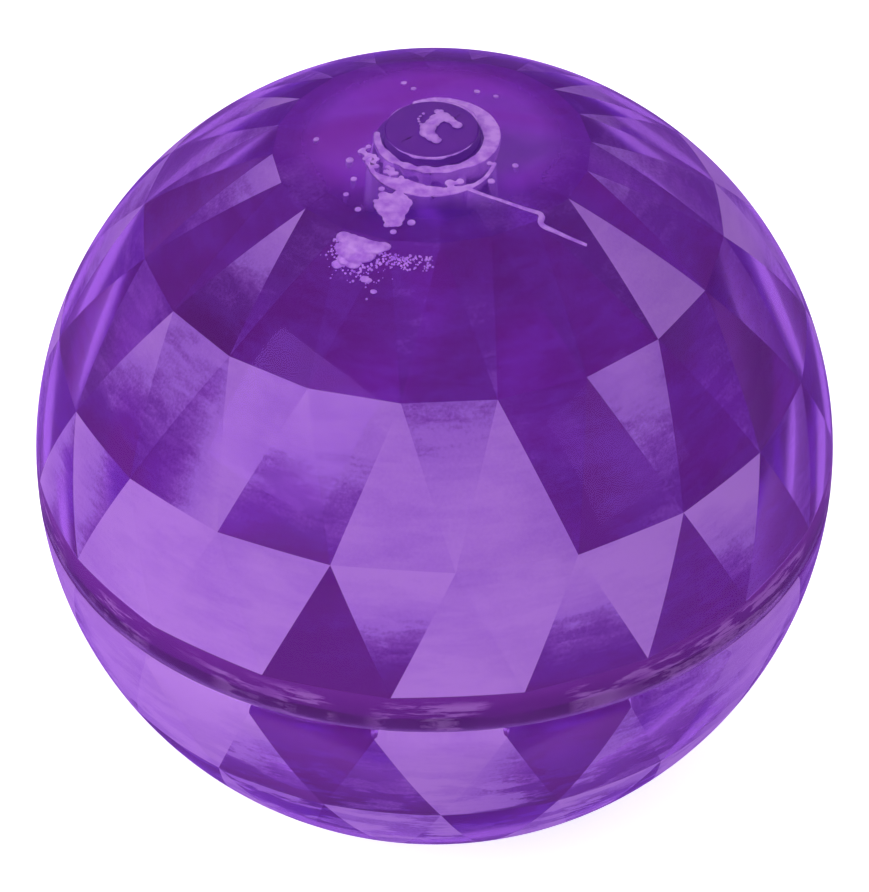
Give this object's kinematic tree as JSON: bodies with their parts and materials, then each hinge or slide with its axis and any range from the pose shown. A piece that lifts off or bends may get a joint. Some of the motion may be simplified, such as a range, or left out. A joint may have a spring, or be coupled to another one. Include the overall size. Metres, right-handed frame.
{
  "type": "playground rubber ball",
  "caption": "Hollow see-through high-bounce play ball, smooth outside with a gem-faceted inner wall, a welded equator and a self-sealing valve plug inside the upper pole.",
  "frame": {"origin": "centre of the ball, on the plane of the equator weld", "axes": "+Z from the centre through the valve plug at the upper pole; -Y towards the front, where the glue drip and smear lie in front of the plug to the left and the glue strand to the right; +X to the right as seen from the front"},
  "size_m": [0.1, 0.1, 0.1],
  "materials": {
    "shell": "glossy clear tinted thermoplastic rubber, polished outside, fine satin facets inside",
    "weld": "darker reddish weld of the same rubber with trapped bubbles",
    "plug": "soft moulded self-sealing rubber, satin",
    "adhesive": "cured milky rubber cement, glossy skin with fine bubbles"
  },
  "bodies": {
    "root": {"upper_shell": "shell", "lower_shell": "shell", "seam_weld": "weld", "valve_plug": "plug", "plug_adhesive": "adhesive", "needle_guide_adhesive": "adhesive", "glue_drip": "adhesive", "glue_smear": "adhesive", "glue_spatter": "adhesive", "glue_strand": "adhesive"}
  },
  "joints": []
}
